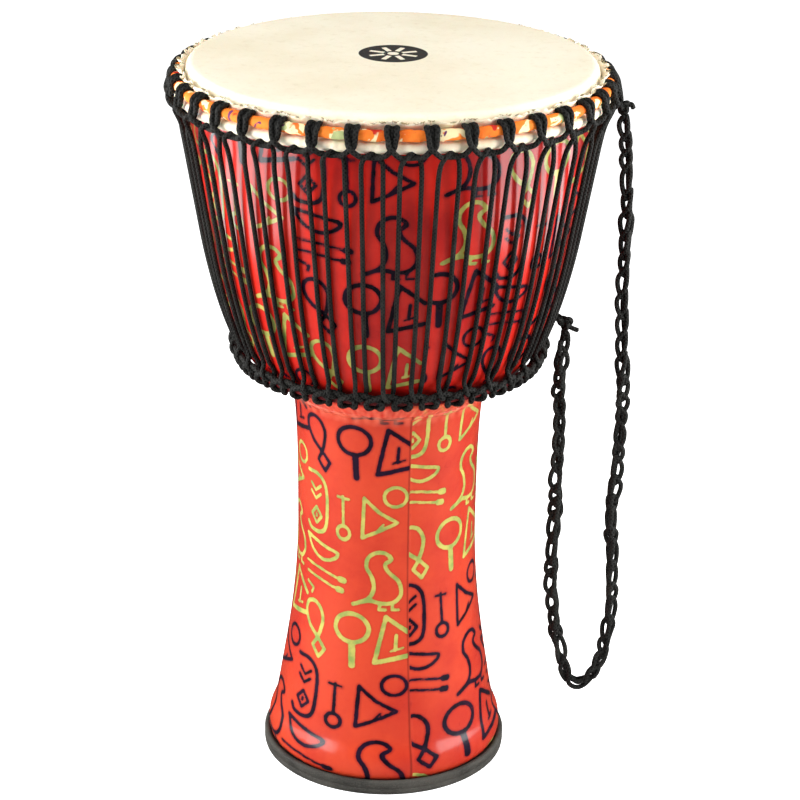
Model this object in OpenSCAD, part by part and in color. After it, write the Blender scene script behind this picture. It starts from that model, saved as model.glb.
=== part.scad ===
// Rope-tuned djembe: a moulded goblet shell under printed cloth, a goat skin held by a crown ring
// and a flesh hoop, and one rope system that pulls the crown ring towards the bottom ring.
// +Z up, origin on the floor under the drum's axis, front towards -Y, rope tail on the +X side.

/* [Shell] */
// Height from the floor to the playing surface
total_h = 660; // [640:1:680]
// Diameter over the skin at the bearing edge
head_d = 356; // [348:1:364]
// Diameter of the neck over its cloth
neck_d = 163; // [156:1:168]
// Diameter of the rolled toe over its cloth
toe_d = 218; // [212:1:222]
// Wall of the moulded shell
wall = 6; // [4:0.5:8]
// Thickness of the printed cloth on the shell
cloth_t = 0.9; // [0.6:0.1:1]
// Height where the throat opens into the bowl
throat_z = 390; // [388:1:392]

/* [Head] */
// Thickness of the goat skin
skin_t = 1.6; // [1:0.1:1.8]
// Rod of the flesh hoop that the skin is turned round
hoop_rod_d = 7.6; // [6:0.1:7.6]

/* [Rings] */
// Rod of the crown ring
crown_rod_d = 8.4; // [7:0.1:8.4]
// Rod of the bottom ring
bottom_rod_d = 6; // [5:0.1:6]
// Cloth strip wound on both rings
ring_wrap_t = 0.9; // [0.5:0.1:0.9]

/* [Ropes] */
// Hitches on each ring
loops = 37; // [34:1:38]
// Rope diameter
rope_d = 4.2; // [3.8:0.1:4.6]

/* [Base] */
// Height of the rubber ring under the foot
rubber_h = 14; // [12:1:14]
// Outer diameter of the rubber ring
rubber_d = 226; // [224:1:228]

/* [Tail] */
// Width of the braided tail
tail_d = 12; // [10:0.5:13]
// Size of the knots at its ends
knot_d = 14; // [12:0.5:14]

/* [Hidden] */
$fn = 96;

gap = 0.2;
rope_r = rope_d / 2;
pitch = 360 / loops;
// Bearing of the first hitch, and of the knots between two hitches at the back
front = -90;
back = front + (floor(loops / 2) + 0.5) * pitch;
steps = 14;
head_r = head_d / 2;
neck_r = neck_d / 2;
toe_r = toe_d / 2;

// Outside of the cloth in (radius, height), from the floor up, as cubic curves
hem_z = 7;
toe_curve = [[toe_r - 5, 11], [toe_r + 1, 14], [toe_r + 1.5, 28], [toe_r - 4.5, 40]];
shin_curve = [[toe_r - 4.5, 40], [toe_r - 7.5, 46], [toe_r - 9, 56], [toe_r - 11, 68]];
foot_curve = [[toe_r - 11, 68], [toe_r - 17, 108], [neck_r - 0.5, 160], [neck_r, 240]];
neck_curve = [[neck_r, 240], [neck_r, 300], [neck_r + 1, 330], [neck_r + 4, 354]];
lip_z = 361;
flare_curve = [
    [neck_r + 4, 354],
    [neck_r + 6, 366],
    [104, throat_z - 18],
    [122, throat_z]
];
cloth_top_r = head_r - 2.2;
cloth_top_z = total_h - 20;
bowl_curve = [
    [122, throat_z],
    [147, throat_z + 25],
    [head_r - 3, total_h - 130],
    [cloth_top_r, cloth_top_z]
];

// Bearing edge of the shell and the skin rolled over it
edge_r = 5;
edge_centre = [head_r - 8.1, total_h - 6.8];
skin_centre = [head_r - 7.6, total_h - 7.6];
membrane_rim_z = total_h - 10;
skirt_low_z = total_h - 28;

// Rings and hoops in (radius, height)
hoop_at = [head_r + 5.6, total_h - 25.7];
collar_r = hoop_rod_d / 2 + 0.1 + skin_t - 0.2;
crown_at = [head_r + 7.7, total_h - 14.7];
crown_r = crown_rod_d / 2 + 0.1 + ring_wrap_t;
bottom_at = [132.2, throat_z + 5.4];
bottom_r = bottom_rod_d / 2 + 0.1 + ring_wrap_t;
top_cradle_at = [head_r + 9.2, total_h - 34.4];
bottom_cradle_at = [137.2, throat_z + 14];

// Runs of the vertical rope: straight off the top cradle, then along the bowl
run_top = [head_r + 7.6, top_cradle_at[1] - rope_r - gap];
run_leaves_at = 0.6;
run_low_z = bottom_cradle_at[1] + rope_r + gap;
run_off = rope_r + 0.7;
run_side = 2.1;

// The knots that close the hitch ropes
rope_knot_r = 4.4;

// Route of the rope tail, from under its hitch to under its end knot
tail_route = [
    [200, 0, 612], [203, 0, 590], [206, 0, 560], [207, 0, 520], [207, 0, 480],
    [207, 0, 440], [209, 0, 400], [211, 0, 360], [211, 0, 320], [209, 0, 280],
    [207, 0, 240], [209, 0, 200], [210, 0, 160], [209, 0, 125], [206, 0, 98],
    [200, 0, 78], [191, 0, 64], [182, 0, 58], [173, 0, 66], [166, 0, 86],
    [160, 0, 112], [156, 0, 145], [154, 0, 180], [155, 0, 220], [155, 0, 260],
    [155, 0, 300], [155, 0, 340], [155, 0, 375], [156, 0, 398], [157, 0, 412]
];
tail_hitch_at = [200, 0, 620.5];
tail_knot_at = [158, 0, 420.5];

// Colours
cloth_red = [0.86, 0.16, 0.09];
wrap_orange = [0.95, 0.45, 0.12];
hide = [0.96, 0.92, 0.80];
steel = [0.62, 0.63, 0.65];
rope_black = [0.07, 0.07, 0.08];

// ---- curves ----

function bez(p, t) =
    pow(1 - t, 3) * p[0] + 3 * pow(1 - t, 2) * t * p[1] + 3 * (1 - t) * t * t * p[2] + pow(t, 3) * p[3];

function bez_way(p, t) =
    3 * pow(1 - t, 2) * (p[1] - p[0]) + 6 * (1 - t) * t * (p[2] - p[1]) + 3 * t * t * (p[3] - p[2]);

// Points of a cubic after its first one
function along(p) = [for (i = [1:steps]) bez(p, i / steps)];

// The same points moved in towards the axis by d
function inward(points, d) = [for (q = points) [q[0] - d, q[1]]];

function reversed(points) = [for (i = [len(points) - 1:-1:0]) points[i]];

function arc(centre, r, from, to, n) =
    [for (i = [0:n]) let (a = from + (to - from) * i / n) centre + r * [cos(a), sin(a)]];

function foot_line() =
    concat([toe_curve[0]], along(toe_curve), along(shin_curve), along(foot_curve), along(neck_curve));

function bowl_line() = along(bowl_curve);

// ---- shared shapes ----

module lathe(points) {
    rotate_extrude() polygon(points);
}

module hoop(at, r) {
    rotate_extrude() translate(at) circle(r);
}

// A cloth tube round a ring
module ring_sleeve(at, outer_r, t) {
    difference() {
        hoop(at, outer_r);
        hoop(at, outer_r - t);
    }
}

// Cloth that follows a line of points, d thick, inside of it
module cloth(points) {
    lathe(concat(points, reversed(inward(points, cloth_t))));
}

// One rope turn over the outside of a ring, from angle a0 to a1 in the radial plane
module turn(at, r, a0, a1, side) {
    translate([0, side, 0])
        rotate([90, 0, 0])
            linear_extrude(rope_d, center = true)
                polygon(concat(arc(at, r + rope_d, a0, a1, 10), arc(at, r, a1, a0, 10)));
}

// A knot with one cut end
module knot(d, end_way) {
    sphere(d = d, $fn = 48);
    rotate(end_way) cylinder(h = d, r = rope_r * 0.9, $fn = 24);
}

// ---- shell and its covers ----

module shell() {
    foot = foot_line();
    outside = concat(
        [[foot[0][0], rubber_h - 8.8], foot[0]],
        foot,
        along(flare_curve),
        bowl_line()
    );
    hull_line = inward(outside, cloth_t + gap);
    color([0.2, 0.2, 0.22])
        lathe(concat(
            hull_line,
            arc(edge_centre, edge_r, 0, 180, 12),
            reversed(inward(hull_line, wall))
        ));
}

module bowl_wrap() {
    flare_top = [for (q = along(flare_curve)) if (q[1] > lip_z + 3) q];
    color(cloth_red) cloth(concat(flare_top, bowl_line()));
}

module foot_wrap() {
    foot = foot_line();
    lip = [for (q = along(flare_curve)) if (q[1] < lip_z + 1) q];
    color(cloth_red) cloth(concat([[foot[0][0], hem_z]], foot, lip));
}

module foot_rubber() {
    r = rubber_d / 2;
    seat_r = toe_r - wall - 8;
    seat_z = rubber_h - 9;
    color([0.2, 0.21, 0.2])
        lathe(concat(
            [[seat_r, 0], [r - 1, 0]],
            arc([r - 2, 2], 2, -60, 0, 4),
            arc([r - 1.8, rubber_h - 1.8], 1.8, 0, 180, 8),
            [[r - 3.6, seat_z], [seat_r, seat_z]]
        ));
}

// ---- head ----

module drum_skin() {
    rolled = arc(skin_centre, head_r - skin_centre[0], 0, 90, 10);
    under = arc(skin_centre, head_r - skin_centre[0] - skin_t, 90, 0, 10);
    color(hide)
        lathe(concat(
            [[head_r, membrane_rim_z]],
            rolled,
            [[0, total_h], [0, total_h - skin_t]],
            under,
            [[head_r - skin_t, membrane_rim_z]]
        ));
}

module skin_skirt() {
    low = [head_r - skin_t, skirt_low_z];
    color(hide)
        rotate_extrude()
            translate(low)
                square([skin_t, membrane_rim_z - gap - skirt_low_z]);
}

module skin_collar() {
    trim_r = head_r + 0.8;
    trim_low_z = hoop_at[1] + 2.2;
    color(hide) {
        ring_sleeve(hoop_at, collar_r, skin_t - 0.2);
        rotate_extrude()
            translate([trim_r, trim_low_z])
                square([1.2, total_h - 8 - trim_low_z]);
    }
}

module flesh_hoop() {
    color(steel) hoop(hoop_at, hoop_rod_d / 2);
}

// ---- rings ----

module crown_ring() {
    color(steel) hoop(crown_at, crown_rod_d / 2);
}

module crown_ring_wrap() {
    color(wrap_orange) ring_sleeve(crown_at, crown_r, ring_wrap_t);
}

module bottom_ring() {
    color(steel) hoop(bottom_at, bottom_rod_d / 2);
}

module bottom_ring_wrap() {
    color(cloth_red) ring_sleeve(bottom_at, bottom_r, ring_wrap_t);
}

// ---- ropes ----

// Two turns over the crown ring, then the two strands cross over the flesh hoop
module top_hitch() {
    cross_at = [head_r + 13.4, 0, total_h - 25];
    for (side = [-1, 1]) {
        turn(crown_at, crown_r + gap, 100, -45, side * (rope_r + gap));
        translate(cross_at)
            rotate([side * 30, 0, 0])
                cube([rope_d - 0.4, rope_d - 0.4, 13], center = true);
    }
}

module top_hitch_rope() {
    color(rope_black) {
        for (i = [0:loops - 1])
            rotate([0, 0, front + i * pitch]) top_hitch();
        hoop(top_cradle_at, rope_r);
    }
}

module bottom_hitch_rope() {
    color(rope_black) {
        for (i = [0:loops - 1], side = [-1, 1])
            rotate([0, 0, front + (i + 0.5) * pitch])
                turn(bottom_at, bottom_r + gap, -100, 60, side * (rope_r + gap));
        hoop(bottom_cradle_at, rope_r);
    }
}

// Centreline of one run in (radius, height): off the cradle, then down the bowl
function run_line() = concat(
    [run_top],
    [
        for (i = [0:10])
            let (
                t = run_leaves_at * (1 - i / 10),
                way = bez_way(bowl_curve, t),
                q = bez(bowl_curve, t) + run_off * [way[1], -way[0]] / norm(way)
            )
            if (q[1] > run_low_z + 4) q
    ]
);

// The line's last point, brought down to the bottom cradle
function run_path() =
    let (
        line = run_line(),
        last = line[len(line) - 1],
        before = line[len(line) - 2],
        slope = (before - last) / (before[1] - last[1])
    )
    concat(line, [last - slope * (last[1] - run_low_z)]);

module vertical_rope() {
    path = run_path();
    outline = concat(
        [for (q = path) q + [rope_r, 0]],
        reversed([for (q = path) q - [rope_r, 0]])
    );
    color(rope_black)
        for (i = [0:loops - 1], side = [-1, 1])
            rotate([90, 0, front + i * pitch + side * run_side])
                linear_extrude(rope_d, center = true)
                    polygon(outline);
}

// Ties the two ends of the top hitch rope together, between two runs at the back
module top_rope_knot() {
    at = [top_cradle_at[0] + 0.8, 0, top_cradle_at[1] - rope_r - rope_knot_r - gap];
    color(rope_black)
        rotate([0, 0, back])
            translate(at)
                knot(2 * rope_knot_r, [180, 0, 0]);
}

// Closes the bottom hitch rope under one of its hitches
module bottom_rope_knot() {
    at = [bottom_at[0], 0, bottom_at[1] - bottom_r - rope_d - rope_knot_r - 2 * gap];
    color(rope_black)
        rotate([0, 0, back])
            translate(at)
                knot(2 * rope_knot_r, [180, 0, 0]);
}

// ---- tail ----

// Ring of points round the route at point i, in the plane across it
function tail_ring(i) =
    let (
        last = len(tail_route) - 1,
        way = tail_route[min(i + 1, last)] - tail_route[max(i - 1, 0)],
        out = cross(way, [0, 1, 0]) / norm(way)
    )
    [for (k = [0:7]) tail_route[i] + tail_d / 2 * (cos(45 * k) * out + sin(45 * k) * [0, 1, 0])];

module tail_rope() {
    rings = len(tail_route);
    points = [for (i = [0:rings - 1]) each tail_ring(i)];
    sides = [
        for (i = [0:rings - 2], k = [0:7])
            let (a = 8 * i + k, b = 8 * i + (k + 1) % 8)
            [a, b, b + 8, a + 8]
    ];
    caps = [[for (k = [7:-1:0]) k], [for (k = [0:7]) 8 * (rings - 1) + k]];
    color(rope_black) polyhedron(points, concat(sides, caps), convexity = 6);
}

// Where the tail leaves the crown ring
module tail_top_hitch() {
    color(rope_black)
        translate(tail_hitch_at)
            knot(knot_d - 1, [0, 60, 0]);
}

// Ties the tail's lower end across two runs of the vertical rope
module tail_end_knot() {
    bar_l = 26;
    color(rope_black)
        translate(tail_knot_at) {
            knot(knot_d, [0, 122, 0]);
            translate([-5.5, 0, 0])
                rotate([90, 0, 0])
                    cylinder(h = bar_l, r = rope_r, center = true, $fn = 24);
        }
}

shell();
bowl_wrap();
foot_wrap();
foot_rubber();
drum_skin();
skin_skirt();
skin_collar();
flesh_hoop();
crown_ring();
crown_ring_wrap();
top_hitch_rope();
top_rope_knot();
vertical_rope();
bottom_ring();
bottom_ring_wrap();
bottom_hitch_rope();
bottom_rope_knot();
tail_top_hitch();
tail_rope();
tail_end_knot();
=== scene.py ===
import math
import random

import bpy
import numpy as np
from mathutils import Matrix, Vector


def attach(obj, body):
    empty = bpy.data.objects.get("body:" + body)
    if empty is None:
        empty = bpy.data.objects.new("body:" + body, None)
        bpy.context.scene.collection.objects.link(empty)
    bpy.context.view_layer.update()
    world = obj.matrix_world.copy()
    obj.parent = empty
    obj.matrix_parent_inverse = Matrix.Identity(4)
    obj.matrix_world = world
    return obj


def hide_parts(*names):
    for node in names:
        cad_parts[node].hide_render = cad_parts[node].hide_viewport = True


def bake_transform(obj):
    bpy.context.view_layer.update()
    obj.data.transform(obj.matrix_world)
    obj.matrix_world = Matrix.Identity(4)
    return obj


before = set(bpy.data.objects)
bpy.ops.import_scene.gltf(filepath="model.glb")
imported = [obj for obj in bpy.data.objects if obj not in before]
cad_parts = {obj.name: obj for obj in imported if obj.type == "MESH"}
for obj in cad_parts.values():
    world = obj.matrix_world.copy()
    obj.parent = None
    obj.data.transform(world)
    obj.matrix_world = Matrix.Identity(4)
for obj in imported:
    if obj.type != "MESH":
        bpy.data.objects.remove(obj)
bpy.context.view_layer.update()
random.seed(41)

MM = 0.001

# --- sizes, in millimetres, as in part.scad
TOTAL_H = 660.0
HITCHES = 37
PITCH = 360.0 / HITCHES
FRONT = -90.0
BACK = 90.0
ROPE_R = 2.1
CLOTH_T = 0.9
TOE = [[104, 11], [110, 14], [110.5, 28], [104.5, 40]]
SHIN = [[104.5, 40], [101.5, 46], [100, 56], [98, 68]]
FOOT = [[98, 68], [92, 108], [81, 160], [81.5, 240]]
NECK = [[81.5, 240], [81.5, 300], [82.5, 330], [85.5, 354]]
FLARE = [[85.5, 354], [87.5, 366], [104, 372], [122, 390]]
BOWL = [[122, 390], [147, 415], [175, 530], [175.8, 640]]
EDGE_CENTRE = [170.4, 652.4]
EDGE_R = 7.6
HOOP_AT = [183.6, 634.3]
COLLAR_R = 4.8
CROWN_AT = [185.7, 645.3]
CROWN_WRAP_R = 5.2
BOTTOM_AT = [132.2, 395.4]
BOTTOM_WRAP_R = 4.0
RUN_TOP = [185.6, 623.3]
RUBBER_R = 113.0
RUBBER_H = 14.0
TAIL_ROUTE = [
    [200, 612], [203, 590], [206, 560], [207, 520], [207, 480], [207, 440], [209, 400], [211, 360],
    [211, 320], [209, 280], [207, 240], [209, 200], [210, 160], [209, 125], [206, 98], [200, 78],
    [191, 64], [182, 58], [173, 66], [166, 86], [160, 112], [156, 145], [154, 180], [155, 220],
    [155, 260], [155, 300], [155, 340], [155, 375], [156, 398], [157, 412],
]
TAIL_STRAND_R = 2.3
SEAM_AZ = -90.0 + 14.4
BADGE_Y = 18.0
BADGE_R = 30.0
SKIN_SIDE_R = 178.0
CLEAR_OF_INK = 9.0
FIELD_LIFT = 21.4
RUN_LOW_Z = 405.0
RUN_HIGH_Z = 623.0


# --- camera, worked out from the object's height
def turned(degrees, axis):
    """A turn about an axis, as a matrix."""
    return Matrix.Rotation(math.radians(degrees), 4, axis)


def make_camera():
    """The photograph's view: 22 degrees down, from in front, with the picture turned by under a degree."""
    back = 3.2755 * TOTAL_H * MM
    rise = 1.8476 * TOTAL_H * MM
    data = bpy.data.cameras.new("camera")
    data.lens = 116.1
    data.sensor_width = 36.0
    data.clip_end = 50.0
    camera = bpy.data.objects.new("camera", data)
    bpy.context.scene.collection.objects.link(camera)
    turn = turned(-0.28, "Z") @ turned(90.0 - 22.04, "X") @ turned(0.92, "Z")
    camera.matrix_world = Matrix.Translation((0.0, -back, rise)) @ turn
    bpy.context.scene.camera = camera


# --- meshes
def mesh_object(name, points, quads, tris=(), uv=None, values=None):
    """A mesh object from arrays in millimetres. uv holds one pair per corner of the quads, in order."""
    mesh = bpy.data.meshes.new(name)
    points = np.asarray(points, float) * MM
    quads = np.asarray(quads, int).reshape(-1, 4)
    tris = np.asarray(tris, int).reshape(-1, 3)
    corners = np.concatenate([quads.ravel(), tris.ravel()])
    sizes = np.concatenate([np.full(len(quads), 4), np.full(len(tris), 3)])
    starts = np.concatenate([[0], np.cumsum(sizes)[:-1]])
    mesh.vertices.add(len(points))
    mesh.vertices.foreach_set("co", points.astype(np.float32).ravel())
    mesh.loops.add(len(corners))
    mesh.loops.foreach_set("vertex_index", corners.astype(np.int32))
    mesh.polygons.add(len(sizes))
    mesh.polygons.foreach_set("loop_start", starts.astype(np.int32))
    mesh.update(calc_edges=True)
    mesh.polygons.foreach_set("use_smooth", np.full(len(sizes), True))
    if uv is not None:
        layer = mesh.uv_layers.new(name="run")
        full = np.zeros((len(corners), 2), np.float32)
        full[: len(uv)] = uv
        layer.data.foreach_set("uv", full.ravel())
    for key, data in (values or {}).items():
        layer = mesh.attributes.new(key, "FLOAT", "POINT")
        layer.data.foreach_set("value", np.asarray(data, np.float32))
    mesh.validate()
    made = bpy.data.objects.new(name, mesh)
    bpy.context.scene.collection.objects.link(made)
    return made


def finish_piece(made, look, body, nodes):
    """Gives a rigid piece its material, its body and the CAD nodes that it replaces."""
    made.data.materials.append(look)
    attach(made, body)
    if nodes:
        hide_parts(*nodes)
    return made


def grid_quads(rows, cols, row_points, col_points):
    """The quads of a grid of points that may close on itself, and the row and column of each."""
    i = np.repeat(np.arange(rows), cols)
    j = np.tile(np.arange(cols), rows)
    i2, j2 = (i + 1) % row_points, (j + 1) % col_points
    corners = [i * col_points + j, i2 * col_points + j, i2 * col_points + j2, i * col_points + j2]
    return np.stack(corners, -1), i, j


def lengths_along(path):
    """The running length at each point of a path."""
    return np.concatenate([[0], np.cumsum(np.linalg.norm(np.diff(path, axis=0), axis=1))])


def bezier(points, count):
    """Points on a cubic Bezier curve, its first one included and its last one left out."""
    p = np.array(points, float)
    t = np.linspace(0.0, 1.0, count, endpoint=False)[:, None]
    return (1 - t) ** 3 * p[0] + 3 * (1 - t) ** 2 * t * p[1] + 3 * (1 - t) * t * t * p[2] + t ** 3 * p[3]


def resample(path, step, closed=False):
    """The same line with points an even distance apart."""
    path = np.asarray(path, float)
    if closed:
        path = np.vstack([path, path[:1]])
    along = lengths_along(path)
    count = max(2, int(round(along[-1] / step)))
    want = np.linspace(0, along[-1], count + 1)
    if closed:
        want = want[:-1]
    return np.stack([np.interp(want, along, path[:, i]) for i in range(path.shape[1])], -1)


def spline(points, closed, per):
    """A smooth line through the points (Catmull-Rom)."""
    p = np.asarray(points, float)
    if closed:
        p = np.vstack([p[-1:], p, p[:2]])
    else:
        p = np.vstack([2 * p[0] - p[1], p, 2 * p[-1] - p[-2]])
    a, b, c, d = p[:-3], p[1:-2], p[2:-1], p[3:]
    rows = []
    for t in np.linspace(0, 1, per, endpoint=False):
        rows.append(0.5 * (2 * b + (c - a) * t + (2 * a - 5 * b + 4 * c - d) * t * t
                           + (3 * b - a - 3 * c + d) * t ** 3))
    out = np.stack(rows, 1).reshape(-1, p.shape[1])
    if not closed:
        out = np.vstack([out, p[-2:-1]])
    return out


def tube(path, radius, sides, closed):
    """A round tube along a path: its points, its faces and a running length and turn for each corner."""
    path = np.asarray(path, float)
    count = len(path)
    if closed:
        tangent = np.roll(path, -1, 0) - np.roll(path, 1, 0)
    else:
        tangent = np.gradient(path, axis=0)
    tangent /= np.linalg.norm(tangent, axis=1)[:, None] + 1e-12
    side = np.zeros_like(path)
    first = np.cross(tangent[0], [0.31, 0.11, 0.94])
    side[0] = first / np.linalg.norm(first)
    for i in range(1, count):
        moved = side[i - 1] - tangent[i] * np.dot(side[i - 1], tangent[i])
        side[i] = moved / np.linalg.norm(moved)
    other = np.cross(tangent, side)
    if closed:
        carried = side[-1] - tangent[0] * np.dot(side[-1], tangent[0])
        carried /= np.linalg.norm(carried)
        miss = math.atan2(np.dot(carried, other[0]), np.dot(carried, side[0]))
        turn = -miss * np.arange(count) / count
        side, other = (side * np.cos(turn)[:, None] + other * np.sin(turn)[:, None],
                       other * np.cos(turn)[:, None] - side * np.sin(turn)[:, None])
    radii = np.broadcast_to(np.asarray(radius, float), (count,))[:, None, None]
    angle = np.arange(sides) * 2 * math.pi / sides
    ring = side[:, None] * np.cos(angle)[None, :, None] + other[:, None] * np.sin(angle)[None, :, None]
    points = (path[:, None] + radii * ring).reshape(-1, 3)
    along = lengths_along(np.vstack([path, path[:1]]))
    quads, i, j = grid_quads(count if closed else count - 1, sides, count, sides)
    quads = quads[:, [0, 3, 2, 1]]
    u, u2 = j / sides, (j + 1) / sides
    v, v2 = along[i], along[i + 1]
    uv = np.stack([np.stack(corner, -1) for corner in ((u, v), (u2, v), (u2, v2), (u, v2))], 1).reshape(-1, 2)
    tris = np.zeros((0, 3), int)
    if not closed:
        low, high = len(points), len(points) + 1
        points = np.vstack([points, path[:1] - tangent[:1] * radii[0, 0, 0] * 0.5,
                            path[-1:] + tangent[-1:] * radii[-1, 0, 0] * 0.5])
        k = np.arange(sides)
        k2 = (k + 1) % sides
        base = (count - 1) * sides
        tris = np.vstack([np.stack([np.full(sides, low), k2, k], -1),
                          np.stack([np.full(sides, high), base + k, base + k2], -1)])
    return points, quads, tris, uv


def tubes_object(name, runs, sides):
    """One object of several tubes, each (path, radius, closed). tone is one random value for each tube."""
    all_points, all_quads, all_tris, all_uv, tone = [], [], [], [], []
    start = 0
    for path, radius, closed in runs:
        points, quads, tris, uv = tube(path, radius, sides, closed)
        all_points.append(points)
        all_quads.append(quads + start)
        all_tris.append(tris + start)
        all_uv.append(uv)
        tone.append(np.full(len(points), random.random()))
        start += len(points)
    return mesh_object(name, np.vstack(all_points), np.vstack(all_quads), np.vstack(all_tris),
                       np.vstack(all_uv), {"tone": np.concatenate(tone)})


def round_the_axis(azimuth, radius, height):
    """A point from its bearing in degrees, its distance from the drum's axis and its height."""
    a = np.radians(azimuth)
    height = np.broadcast_to(height, np.shape(a * radius))
    return np.stack([radius * np.cos(a), radius * np.sin(a), height], -1)


def revolved(name, section, around, wobble):
    """A closed section of (radius, height) turned about the axis. wobble changes the points and gives values
    for them, from arrays of bearing (degrees), section index, radius and height."""
    section = np.asarray(section, float)
    cols = len(section)
    azimuth = np.repeat(np.arange(around) * 360.0 / around, cols)
    index = np.tile(np.arange(cols), around)
    azimuth, radius, height, values = wobble(azimuth, index, section[index, 0], section[index, 1])
    quads = grid_quads(around, cols, around, cols)[0]
    return mesh_object(name, round_the_axis(azimuth, radius, height), quads, values=values)


def outward(profile):
    """The outward direction at each point of a (radius, height) profile that runs upward."""
    run = np.gradient(profile, axis=0)
    run /= np.linalg.norm(run, axis=1)[:, None]
    return np.stack([run[:, 1], -run[:, 0]], -1)


def shell_section(outer, thickness):
    """A closed section: the outer profile upward, then the inner one downward with fewer points."""
    inner = (outer - outward(outer) * thickness)[::-1]
    keep = np.unique(np.concatenate([np.arange(0, len(inner), 6), [len(inner) - 1]]))
    return np.vstack([outer, inner[keep]])


def smooth_noise(azimuth, height, waves, seed):
    """A few summed waves round and up the drum, from -1 to 1, the same on every run."""
    local = np.random.default_rng(seed)
    total = np.zeros_like(azimuth)
    for low, high, tall in waves:
        turns = local.integers(low, high + 1)
        phase = local.uniform(0, 2 * math.pi, 2)
        total += np.sin(np.radians(azimuth) * turns + phase[0] + np.sin(height / tall + phase[1]) * 1.5)
    return total / max(1, len(waves))


# --- materials
class Look:
    """Builds one procedural material."""

    def __init__(self, name, **sockets):
        self.material = bpy.data.materials.new(name)
        self.material.use_nodes = True
        self.tree = self.material.node_tree
        self.shader = self.tree.nodes["Principled BSDF"]
        for key, value in sockets.items():
            self.shader.inputs[key.replace("_", " ")].default_value = value
        self.place = self.tree.nodes.new("ShaderNodeTexCoord").outputs["Object"]

    def join(self, out, socket):
        self.tree.links.new(out, socket)

    def put(self, value, socket):
        if hasattr(value, "is_linked"):
            self.join(value, socket)
        else:
            socket.default_value = value

    def node(self, kind, **inputs):
        """A node with its inputs, by their names, set or joined."""
        made = self.tree.nodes.new("ShaderNode" + kind)
        for key, value in inputs.items():
            self.put(value, made.inputs[key.replace("_", " ")])
        return made

    def along_rope(self):
        """How far round its rope and how far along it each point is."""
        run = self.node("UVMap")
        run.uv_map = "run"
        parts = self.node("SeparateXYZ", Vector=run.outputs["UV"])
        return parts.outputs[0], parts.outputs[1]

    def noise(self, scale, detail=3.0, rough=0.55, place=None, distort=0.0):
        made = self.node("TexNoise", Scale=scale, Detail=detail, Roughness=rough, Distortion=distort,
                         Vector=place or self.place)
        return made.outputs["Fac"]

    def cells(self, scale):
        return self.node("TexVoronoi", Scale=scale, Vector=self.place).outputs["Distance"]

    def stretched(self, scale):
        return self.node("Mapping", Scale=scale, Vector=self.place).outputs[0]

    def math(self, kind, *values):
        made = self.node("Math")
        made.operation = kind
        for value, socket in zip(values, made.inputs):
            self.put(value, socket)
        return made.outputs[0]

    def add(self, a, b):
        return self.math("ADD", a, b)

    def times(self, a, b):
        return self.math("MULTIPLY", a, b)

    def value(self, name):
        made = self.node("Attribute")
        made.attribute_name = name
        return made.outputs["Fac"]

    def spread(self, value, low, high, to_low=0.0, to_high=1.0):
        made = self.node("MapRange", Value=value, From_Min=low, From_Max=high, To_Min=to_low, To_Max=to_high)
        made.interpolation_type = "SMOOTHSTEP"
        return made.outputs["Result"]

    def mix(self, factor, a, b):
        made = self.node("Mix")
        made.data_type = "RGBA"
        for number, value in ((0, factor), (6, a), (7, b)):
            self.put(value, made.inputs[number])
        return made.outputs[2]

    def bump(self, height, distance, strength, after=None):
        made = self.node("Bump", Height=height, Distance=distance, Strength=strength)
        if after is not None:
            self.join(after, made.inputs["Normal"])
        return made.outputs[0]

    def finish(self, colour, roughness=None, normal=None):
        for name, out in (("Base Color", colour), ("Roughness", roughness), ("Normal", normal)):
            if out is not None:
                self.join(out, self.shader.inputs[name])
        return self.material


def rgb(red, green, blue):
    """A colour as it looks on screen, 0 to 255, turned into the linear values that the shader takes."""
    out = []
    for value in (red, green, blue):
        s = value / 255.0
        out.append(s / 12.92 if s <= 0.04045 else ((s + 0.055) / 1.055) ** 2.4)
    return (*out, 1.0)


def rope_look():
    """Braided black cord: crossing ridges along the run, a painted grey highlight on their crowns and painted
    shade in the grooves, and grey patches that are partly dust, partly painted sheen.
    """
    look = Look("black_braided_cord", Roughness=0.6, Specular_IOR_Level=0.14)
    turn, along = look.along_rope()
    strands = look.times(turn, 4.0)
    lay = look.times(along, 0.28)
    one = look.math("SINE", look.times(look.add(strands, lay), 2 * math.pi))
    two = look.math("SINE", look.times(look.math("SUBTRACT", strands, lay), 2 * math.pi))
    ridge = look.spread(look.math("MAXIMUM", one, two), -0.6, 1.0)
    fibre = look.noise(900.0, 4.0, 0.7)
    dust_and_sheen = look.noise(60.0, 3.0, 0.6)
    height = look.add(ridge, look.times(fibre, 0.5))
    # Painted highlight and shade: strand crowns coloured light grey, grooves near black.
    groove_shade_crown_highlight = look.mix(ridge, rgb(3, 3, 3), rgb(34, 34, 32))
    # Greyer patches from the noise: partly dust, partly painted sheen.
    worn = look.mix(look.spread(dust_and_sheen, 0.45, 0.75, 0.0, 0.35), groove_shade_crown_highlight, rgb(56, 56, 52))
    normal = look.bump(height, 0.0007, 0.8)
    return look.finish(worn, look.spread(fibre, 0.2, 0.8, 0.5, 0.75), normal)


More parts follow.
